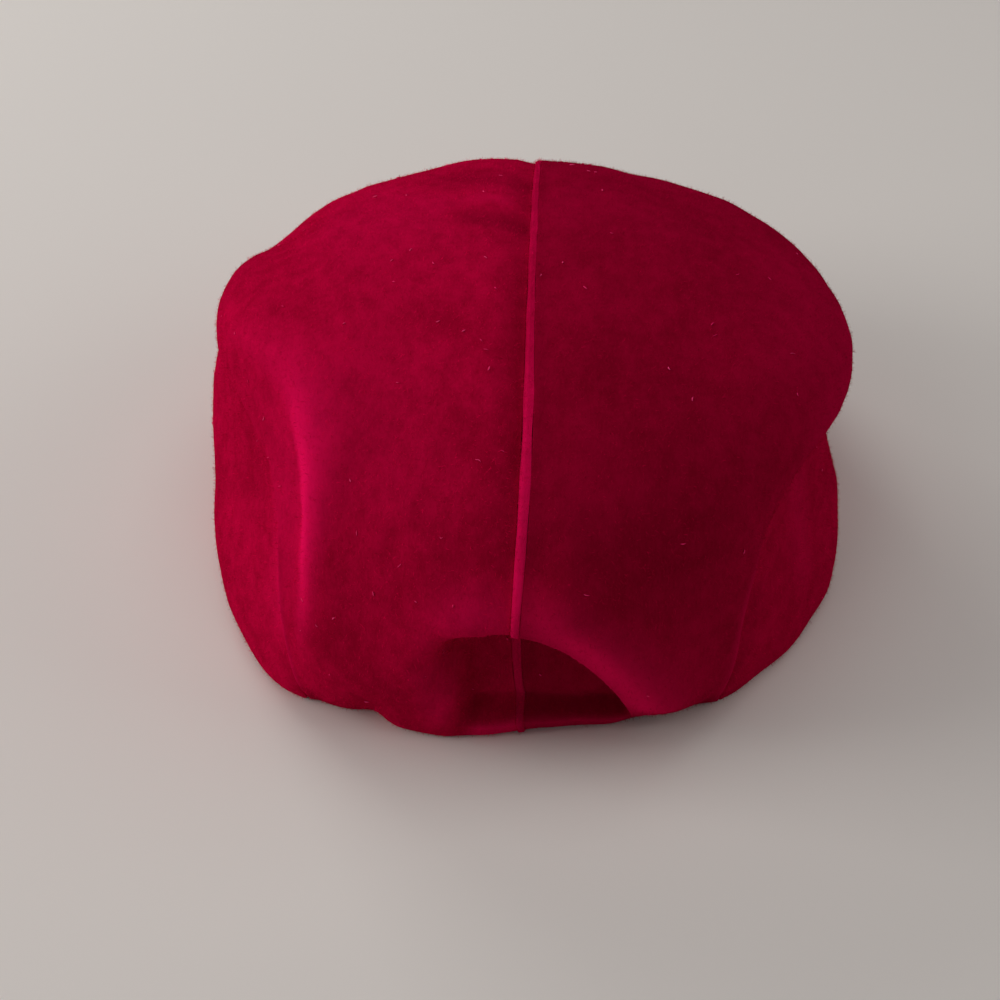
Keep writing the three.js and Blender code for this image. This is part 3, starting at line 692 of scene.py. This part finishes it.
# one square of the map for each fibre
def fibreChart(count, lengths):
    side = int(np.ceil(np.sqrt(count)))
    corner = np.stack([np.arange(count) % side, np.arange(count) // side], -1) / side
    v = np.linspace(*chartCell, lengths + 1) / side
    u = np.array(chartCell) / side
    quad = [[(u[0], low), (u[1], low), (u[1], high), (u[0], high)] for low, high in zip(v[:-1], v[1:])]
    return corner[:, None, None, :] + np.array(quad)


# fibres as ribbons of two lengths that bend over and narrow to the tip
def napPiece(node, sheet, rng):
    count = fibres["count"][node]
    root, out = scatter(sheet, count, rng, outwardSign[node])
    side = unit(np.cross(out, rng.normal(size=(count, 3))))
    lean = rng.uniform(*fibres["lean"], (count, 1))
    length = rng.uniform(*fibres["length"], (count, 1))
    start = unit(out * (1 - lean) + np.cross(side, out) * lean)
    bend = unit(start + rng.normal(size=(count, 3)) * fibres["bend"])
    base = root - out * fibres["sink"]
    middle = base + start * length / 2
    tip = middle + bend * length / 2
    half = side * fibres["width"] / 2
    points = np.stack([base - half, base + half, middle - half, middle + half,
                       tip - half * fibres["tip"], tip + half * fibres["tip"]], 1)
    points[..., 2] = np.maximum(points[..., 2], fibres["lowest"])
    ribbon = np.array(((0, 1, 3, 2), (2, 3, 5, 4)))
    quads = np.arange(count)[:, None, None] * points.shape[1] + ribbon
    chart = fibreChart(count, len(ribbon))
    piece = meshPiece(node + "_nap", points.reshape(-1, 3), quads.reshape(-1, 4), chart)
    tint = np.repeat(rng.random(count), points.shape[1]).astype(np.float32)
    piece.data.attributes.new("tint", "FLOAT", "POINT").data.foreach_set("value", tint)
    return piece


rng = np.random.default_rng(fibres["seed"])
naps = {node: napPiece(node, sheets[node][0], rng) for node in fibres["count"]}
print("paintedFoldLight", sum(fibres["count"].values()), "fibres")

# Lint: light bits caught in the felt, thin bent tubes closed at both ends
lint = {
    "count": {"crown_left": 76, "crown_right": 36, "side_left": 8, "side_right": 8},
    "length": (0.7, 1.7), "width": (0.20, 0.48), "bow": 0.5, "taper": 2.4,
    "rings": 4, "sides": 4, "seed": 77,
    "colours": ((0.88, 0.02, 0.14, 1), (1.0, 0.07, 0.25, 1)), "patch": 0.02, "span": (0.35, 0.65),
}


def lintPiece(node, sheet, rng):
    count, rings, sides = lint["count"][node], lint["rings"], lint["sides"]
    root, out = scatter(sheet, count, rng, outwardSign[node])
    along = unit(np.cross(out, rng.normal(size=(count, 3))))
    side = np.cross(out, along)
    length = rng.uniform(*lint["length"], (count, 1, 1))
    width = rng.uniform(*lint["width"], (count, 1, 1)) / 2
    t = np.linspace(-0.5, 0.5, rings)[None, :, None]
    bow = rng.normal(size=(count, 1, 1)) * lint["bow"]
    root, out, along, side = (v[:, None] for v in (root, out, along, side))
    spine = root + out * width + along * t * length + side * bow * length * t ** 2
    taper = 1 - lint["taper"] * t ** 2
    radius = width * taper
    points = np.stack([spine + (side * np.cos(turn) + out * np.sin(turn)) * radius
                       for turn in 2 * np.pi * np.arange(sides) / sides], 2)
    points[..., 2] = np.maximum(points[..., 2], fibres["lowest"])
    ring = np.arange(sides)
    after = np.roll(ring, -1)
    band = np.stack([ring, after, after + sides, ring + sides], -1)
    body = np.concatenate([band + k * sides for k in range(rings - 1)])
    body = np.vstack([body, ring[::-1], ring + (rings - 1) * sides])
    quads = np.arange(count)[:, None, None] * rings * sides + body
    chart = fibreChart(count, 1)[:, 0][:, None].repeat(len(body), 1)
    return meshPiece(node + "_lint", points.reshape(-1, 3), quads.reshape(-1, 4), chart)


rng = np.random.default_rng(lint["seed"])
lints = {node: lintPiece(node, sheets[node][0], rng) for node in lint["count"]}
print("lint", sum(lint["count"].values()), "bits")


# Finishes. A wrapped socket: sums and products of sockets add Math nodes.
class Shade:
    def __init__(self, tree, socket=None):
        self.tree = tree
        self.socket = socket

    def make(self, kind, settings, sockets, out=0):
        node = self.tree.nodes.new(kind)
        for key, value in settings.items():
            setattr(node, key, value)
        for key, value in sockets.items():
            if isinstance(value, Shade):
                self.tree.links.new(value.socket, node.inputs[key])
            else:
                node.inputs[key].default_value = value
        return Shade(self.tree, node.outputs[out])

    def math(self, operation, first, second):
        return self.make("ShaderNodeMath", {"operation": operation}, {0: first, 1: second})

    def __add__(self, other):
        return self.math("ADD", self, other)

    def __mul__(self, other):
        return self.math("MULTIPLY", self, other)

    def __sub__(self, other):
        return self.math("SUBTRACT", self, other)

    def __rsub__(self, other):
        return self.math("SUBTRACT", other, self)

    __radd__ = __add__
    __rmul__ = __mul__

    # 0 to 1 between two values
    def between(self, low, high):
        return self.make("ShaderNodeMapRange", {"interpolation_type": "SMOOTHSTEP"},
                         {"Value": self, "From Min": low, "From Max": high})

    def blend(self, first, second):
        return self.make("ShaderNodeMix", {"data_type": "RGBA"}, {"Factor": self, 6: first, 7: second}, 2)

    # noise whose patches are about size metres, on coordinates stretched by three numbers
    def noise(self, size, stretch=(1, 1, 1), detail=2):
        place = self.make("ShaderNodeVectorMath", {"operation": "MULTIPLY"}, {0: self, 1: stretch})
        return self.make("ShaderNodeTexNoise", {}, {"Vector": place, "Scale": 1 / size, "Detail": detail})


# colours as linear numbers: the felt lies between deep and bright where nothing is painted, and turns to
# the third colour where a painted highlight lies
lookColumns = ("deep", "bright", "paintedLight")
feltLooks = {name: dict(zip(lookColumns, row)) for name, *row in (
    ("felt", (0.345, 0.0008, 0.023, 1), (0.55, 0.0015, 0.044, 1), (1.0, 0.005, 0.12, 1)),
    # the next two rows are darker copies of the felt: painted shade for the right panels
    ("felt_turned", (0.225, 0.0007, 0.015, 1), (0.33, 0.0010, 0.026, 1), (0.66, 0.003, 0.068, 1)),
    ("felt_far", (0.295, 0.0008, 0.020, 1), (0.435, 0.0012, 0.034, 1), (0.8, 0.004, 0.09, 1)),
    ("felt_welt", (0.38, 0.0011, 0.031, 1), (0.54, 0.0018, 0.055, 1), (1.0, 0.005, 0.12, 1)),
    ("felt_peak", (0.34, 0.0009, 0.023, 1), (0.49, 0.0014, 0.040, 1), (0.8, 0.004, 0.09, 1)),
)}
paintedShadeShare = 0.4    # share of the deep colour left where painted shade lies
fibreHighlight = 1.9   # the lightest fibres against the bright colour, a painted highlight on the fuzz
feltSurface = {
    "Roughness": 0.95, "Specular IOR Level": 0.0,
    "Sheen Weight": 0.08, "Sheen Roughness": 0.55, "Sheen Tint": (1.0, 0.004, 0.13, 1),
}
grain = {   # size in metres, stretch and detail
    "cloud": (0.028, (1, 1, 1), 2),
    "mottle": (0.0042, (1, 0.7, 0.7), 3),
    "fibre": (0.0007, (1, 0.45, 0.45), 2),
}
toneShare = {"cloud": 0.35, "mottle": 0.4, "fibre": 0.25, "span": (0.32, 0.68)}
relief = {"mottle": 0.6, "fibre": 0.4, "strength": 0.35, "depth": 0.0005}


def newFinish(name):
    finish = bpy.data.materials.new(name)
    finish.use_nodes = True
    tree = finish.node_tree
    shader = tree.nodes["Principled BSDF"]
    for key, value in feltSurface.items():
        shader.inputs[key].default_value = value
    return finish, tree, shader


# felt: cloudy patches, a mottle of a few millimetres and fine streaked fibres, with painted highlight and
# painted shade laid over them
def feltFinish(name):
    finish, tree, shader = newFinish(name)
    place = Shade(tree).make("ShaderNodeTexCoord", {}, {}, "Object")
    cloud, mottle, fibre = (place.noise(*grain[kind]) for kind in ("cloud", "mottle", "fibre"))
    tone = cloud * toneShare["cloud"] + mottle * toneShare["mottle"] + fibre * toneShare["fibre"]
    look = feltLooks[name]
    colour = tone.between(*toneShare["span"]).blend(look["deep"], look["bright"])
    # painted highlight towards the third colour above 0, painted shade towards a darker deep colour below 0
    paintedLight = place.make("ShaderNodeAttribute", {"attribute_name": "paintedLight"}, {}, "Fac")
    colour = paintedLight.blend(colour, look["paintedLight"])
    dark = tuple(paintedShadeShare * level for level in look["deep"][:3])
    colour = (paintedLight * -1).blend(colour, (*dark, 1))
    height = mottle * relief["mottle"] + fibre * relief["fibre"]
    bump = height.make("ShaderNodeBump", {}, {
        "Strength": relief["strength"], "Distance": relief["depth"], "Height": height})
    tree.links.new(colour.socket, shader.inputs["Base Color"])
    tree.links.new(bump.socket, shader.inputs["Normal"])
    return finish


# nap: from the felt's deep colour up to a painted highlight above its bright one, different for each fibre
def napFinish(name):
    finish, tree, shader = newFinish(name + "_nap")
    tint = Shade(tree).make("ShaderNodeAttribute", {"attribute_name": "tint"}, {}, "Fac")
    light = tuple(min(1.0, fibreHighlight * level) for level in feltLooks[name]["bright"][:3])
    colour = tint.blend(feltLooks[name]["deep"], (*light, 1))
    tree.links.new(colour.socket, shader.inputs["Base Color"])
    return finish


def lintFinish():
    finish, tree, shader = newFinish("lint")
    place = Shade(tree).make("ShaderNodeTexCoord", {}, {}, "Object")
    colour = place.noise(lint["patch"]).between(*lint["span"]).blend(*lint["colours"])
    tree.links.new(colour.socket, shader.inputs["Base Color"])
    return finish


slotOf = {"centre_seam": "felt_welt", "peak": "felt_peak"}          # the others are felt
lookOf = {"crown_right": "felt_turned", "side_right": "felt_far"}   # darker copies of the felt: painted shade on the right panels
finishes = {name: feltFinish(name) for name in feltLooks}
napFinishes = {name: napFinish(name) for name in feltLooks}
lintLook = lintFinish()
for node, piece in pieces.items():
    slot = slotOf.get(node, "felt")
    look = lookOf.get(node, slot)
    piece.data.materials.append(finishes[look])
    naps[node].data.materials.append(napFinishes[look])
for piece in lints.values():
    piece.data.materials.append(lintLook)
print("finishes", len(bpy.data.materials))

# Floor, light and camera
stage = {
    "floor": {"Base Color": (0.88, 0.83, 0.79, 1), "Roughness": 0.9, "Specular IOR Level": 0.1},
    "floorHalf": 4.0, "floorLines": 9,
    "world": (0.78, 0.80, 0.84), "worldStrength": 0.08,
    "camera": {"azimuth": 2.0, "elevation": 45.0, "distance": 665.0 * fit, "lens": 73.44, "sensor": 36.0,
               "nearest": 0.01, "target": np.array((-10.0, -12.0, 25.0)) * fit},
    "aim": (0, 0, 0.04),
    "lights": {   # place and size in metres
        "window": {"place": (-1.76, -0.16, 0.64), "size": 0.96, "watts": 11.5, "colour": (1.0, 0.98, 0.96)},
        "high": {"place": (-0.85, -0.1, 0.85), "size": 0.6, "watts": 1.3, "colour": (1.0, 0.98, 0.97)},
        "far": {"place": (-0.65, 0.85, 0.60), "size": 0.6, "watts": 3.4, "colour": (1.0, 0.99, 0.97)},
        "near": {"place": (-0.65, -0.85, 0.60), "size": 0.6, "watts": 0.5, "colour": (1.0, 0.99, 0.98)},
        "room": {"place": (1.1, 0.0, 0.60), "size": 0.9, "watts": 2.9, "colour": (1.0, 0.98, 0.95)},
        "top": {"place": (0.0, 0.0, 1.2), "size": 0.9, "watts": 2.9, "colour": (1.0, 0.99, 0.98)},
    },
}


def makeFloor():
    line = np.linspace(-stage["floorHalf"], stage["floorHalf"], stage["floorLines"])
    x, y = np.meshgrid(line, line, indexing="ij")
    points = stack(x, y, 0 * x).reshape(-1, 3)
    quads = gridQuads(len(line), len(line))
    mesh = bpy.data.meshes.new("floor")
    mesh.from_pydata(points.tolist(), [], quads.tolist())
    floor = bpy.data.objects.new("floor", mesh)
    bpy.context.scene.collection.objects.link(floor)
    paint = bpy.data.materials.new("floor")
    paint.use_nodes = True
    shader = paint.node_tree.nodes["Principled BSDF"]
    for key, value in stage["floor"].items():
        shader.inputs[key].default_value = value
    mesh.materials.append(paint)


def aim(thing, target):
    thing.rotation_euler = (Vector(target) - thing.location).to_track_quat("-Z", "Y").to_euler()


def makeLights():
    for name, light in stage["lights"].items():
        data = bpy.data.lights.new(name, "AREA")
        data.size = light["size"]
        data.energy = light["watts"]
        data.color = light["colour"]
        lamp = bpy.data.objects.new(name, data)
        bpy.context.scene.collection.objects.link(lamp)
        lamp.location = light["place"]
        aim(lamp, stage["aim"])
    world = bpy.data.worlds.new("studio")
    world.use_nodes = True
    back = world.node_tree.nodes["Background"]
    back.inputs["Color"].default_value = (*stage["world"], 1)
    back.inputs["Strength"].default_value = stage["worldStrength"]
    bpy.context.scene.world = world


def makeCamera():
    view = stage["camera"]
    turn, rise = np.radians(view["azimuth"]), np.radians(view["elevation"])
    target = (view["target"] + shift) * mm
    back = np.array((np.sin(turn) * np.cos(rise), -np.cos(turn) * np.cos(rise), np.sin(rise)))
    data = bpy.data.cameras.new("camera")
    data.sensor_width = view["sensor"]
    data.lens = view["lens"]
    data.clip_start = view["nearest"]
    camera = bpy.data.objects.new("camera", data)
    bpy.context.scene.collection.objects.link(camera)
    camera.location = target + back * view["distance"] * mm
    aim(camera, target)
    bpy.context.scene.camera = camera


makeFloor()
makeLights()
makeCamera()
bpy.context.scene.view_settings.view_transform = "Standard"
print("stage done")
